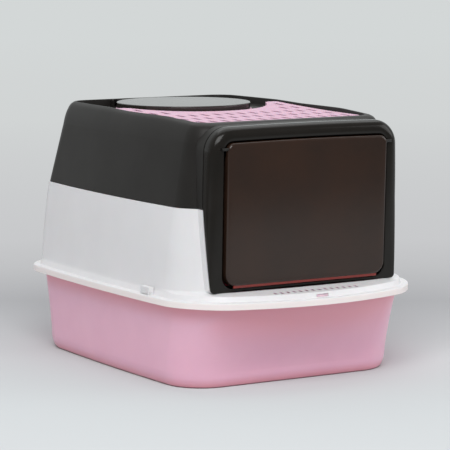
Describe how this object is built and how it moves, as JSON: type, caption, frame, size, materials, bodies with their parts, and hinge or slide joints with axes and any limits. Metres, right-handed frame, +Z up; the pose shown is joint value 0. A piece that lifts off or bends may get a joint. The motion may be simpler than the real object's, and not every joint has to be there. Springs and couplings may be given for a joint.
{
  "type": "hooded_litter_box",
  "caption": "Hooded cat litter box with a deep pink tray, a pale lower hood, a dark upper hood, a swing door, a round hinged roof lid and a pink grip mat",
  "frame": {"origin": "middle of the bounding box on the floor, under the rim", "axes": "+Z up, the door faces -Y, +Y runs from the door to the back, +X to the right as seen from the front"},
  "size_m": [0.415, 0.56, 0.3789],
  "materials": {
    "pink_plastic": "satin injection-moulded plastic",
    "pink_rubber": "soft matt rubber",
    "white_plastic": "satin injection-moulded plastic",
    "dark_plastic": "fine-grained satin plastic",
    "black_gloss": "polished plastic",
    "smoked_plastic": "polished smoked plastic",
    "pin_plastic": "plain moulded plastic"
  },
  "bodies": {
    "tray": {"litter_tray": "pink_plastic"},
    "lower": {"lower_hood": "white_plastic", "clip_pin_left": "pin_plastic", "clip_pin_right": "pin_plastic"},
    "upper": {"upper_hood": "dark_plastic", "door_frame": "black_gloss", "door_pin_left": "pin_plastic", "door_pin_right": "pin_plastic", "lid_pin_left": "pin_plastic", "lid_pin_right": "pin_plastic", "hole_ring": "pink_rubber"},
    "door": {"swing_door": "smoked_plastic"},
    "lid": {"top_lid": "smoked_plastic"},
    "mat": {"paw_mat": "pink_rubber"},
    "clip_left": {"side_clip_left": "white_plastic"},
    "clip_right": {"side_clip_right": "white_plastic"}
  },
  "joints": [
    {"name": "lower_lift", "type": "slide", "parent": "tray", "child": "lower", "axis": [0, 0, 1], "range_m": [0, 0.15]},
    {"name": "upper_lift", "type": "slide", "parent": "lower", "child": "upper", "axis": [0, 0, 1], "range_m": [0, 0.13]},
    {"name": "mat_lift", "type": "slide", "parent": "upper", "child": "mat", "axis": [0, 0, 1], "range_m": [0, 0.05]},
    {"name": "door_swing", "type": "hinge", "parent": "upper", "child": "door", "pos_m": [0, -0.23105, 0.3395], "axis": [1, 0, 0], "range_deg": [-75, 75]},
    {"name": "lid_open", "type": "hinge", "parent": "upper", "child": "lid", "pos_m": [0, 0.2206, 0.3752], "axis": [-1, 0, 0], "range_deg": [0, 105]},
    {"name": "clip_left_turn", "type": "hinge", "parent": "lower", "child": "clip_left", "pos_m": [-0.19941, -0.119, 0.1319], "axis": [0, -1, 0], "range_deg": [0, 90]},
    {"name": "clip_right_turn", "type": "hinge", "parent": "lower", "child": "clip_right", "pos_m": [0.19941, -0.119, 0.1319], "axis": [0, 1, 0], "range_deg": [0, 90]}
  ]
}
